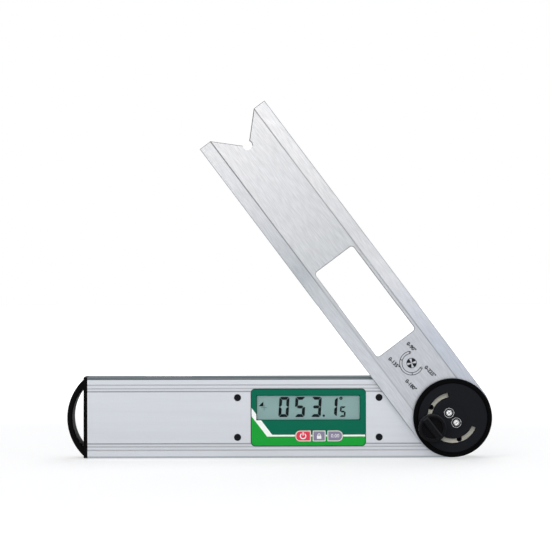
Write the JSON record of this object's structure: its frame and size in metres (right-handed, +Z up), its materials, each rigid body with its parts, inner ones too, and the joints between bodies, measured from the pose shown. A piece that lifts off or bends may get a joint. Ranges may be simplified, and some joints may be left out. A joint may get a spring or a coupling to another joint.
{
  "type": "digital angle finder with arms",
  "caption": "Digital angle finder: a hollow base arm with display, level vial and hanging loop, and a notched, windowed blade that turns about a lockable hub.",
  "frame": {"origin": "on the base arm's lower measuring edge, midway along the 250 mm arm (pivot to end cap face) and midway through its depth", "axes": "+X along the base arm towards the pivot, +Y to the back of the tool, +Z up from the measuring edge"},
  "size_m": [0.2879, 0.0454, 0.2422],
  "materials": {
    "anodised_aluminium": "satin anodised extrusion",
    "brushed_aluminium": "long-grain brushed",
    "black_plastic": "fine moulded texture",
    "film_print": "printed polycarbonate film",
    "clear_acrylic": "polished, clear",
    "vial_spirit": "tinted liquid",
    "display_glass": "reflective display",
    "conductive_rubber": "striped strip",
    "board_laminate": "glass-fibre laminate",
    "switch_plastic": "moulded",
    "black_steel": "black oxide",
    "cell_steel": "nickel plated",
    "red_key": "printed film over a moulded cap",
    "grey_key": "printed film over a moulded cap",
    "bearing_bronze": "sintered",
    "turned_steel": "turned",
    "cream_acetal": "moulded",
    "bright_screw": "polished nickel"
  },
  "bodies": {
    "base_arm": {"housing_extrusion": "anodised_aluminium", "end_cap": "black_plastic", "hub_insert": "black_plastic", "pivot_cover": "black_plastic", "vial_block": "clear_acrylic", "vial_plug": "clear_acrylic", "vial_fluid": "vial_spirit", "display_film": "film_print", "lcd_lens": "clear_acrylic", "lcd_glass": "display_glass", "lcd_connectors": "conductive_rubber", "module_frame": "black_plastic", "key_switches": "switch_plastic", "circuit_board": "board_laminate", "module_screws": "black_steel", "battery_holder": "black_plastic", "battery_contact": "cell_steel", "coin_cell": "cell_steel", "front_bush": "bearing_bronze", "rear_bush": "bearing_bronze", "encoder_stator": "board_laminate", "encoder_ribbon": "switch_plastic", "friction_ring": "cream_acetal", "seat_inserts": "bearing_bronze"},
    "blade_arm": {"blade": "brushed_aluminium", "hub_disc": "black_plastic", "screw_cups": "bright_screw", "hub_screws": "bright_screw", "pivot_shaft": "turned_steel", "encoder_rotor": "board_laminate", "spring_washer": "turned_steel", "circlip": "black_steel"},
    "lock_knob": {"lock_knob": "black_plastic", "lock_screw": "turned_steel", "lock_washer": "turned_steel"},
    "battery_cap": {"battery_cap": "black_plastic"},
    "power_key": {"power_key": "red_key"},
    "hold_key": {"hold_key": "grey_key"},
    "zero_key": {"zero_key": "grey_key"}
  },
  "joints": [
    {"name": "blade_hinge", "type": "hinge", "parent": "base_arm", "child": "blade_arm", "pos_m": [0.125, 0, 0.0275], "axis": [0, 1, 0], "range_deg": [-53.15, 126.85]},
    {"name": "lock_knob_turn", "type": "hinge", "parent": "base_arm", "child": "lock_knob", "pos_m": [0.11082, -0.025, 0.02101], "axis": [0, -1, 0], "range_deg": [0, 180]},
    {"name": "battery_cap_turn", "type": "hinge", "parent": "base_arm", "child": "battery_cap", "pos_m": [0.0276, 0.013, 0.0275], "axis": [0, 1, 0], "range_deg": [0, 60]},
    {"name": "power_key_press", "type": "slide", "parent": "base_arm", "child": "power_key", "axis": [0, 1, 0], "range_m": [0, 0.0003], "stiffness_N_per_m": 4000, "springref_m": -0.0001},
    {"name": "hold_key_press", "type": "slide", "parent": "base_arm", "child": "hold_key", "axis": [0, 1, 0], "range_m": [0, 0.0003], "stiffness_N_per_m": 4000, "springref_m": -0.0001},
    {"name": "zero_key_press", "type": "slide", "parent": "base_arm", "child": "zero_key", "axis": [0, 1, 0], "range_m": [0, 0.0003], "stiffness_N_per_m": 4000, "springref_m": -0.0001}
  ]
}
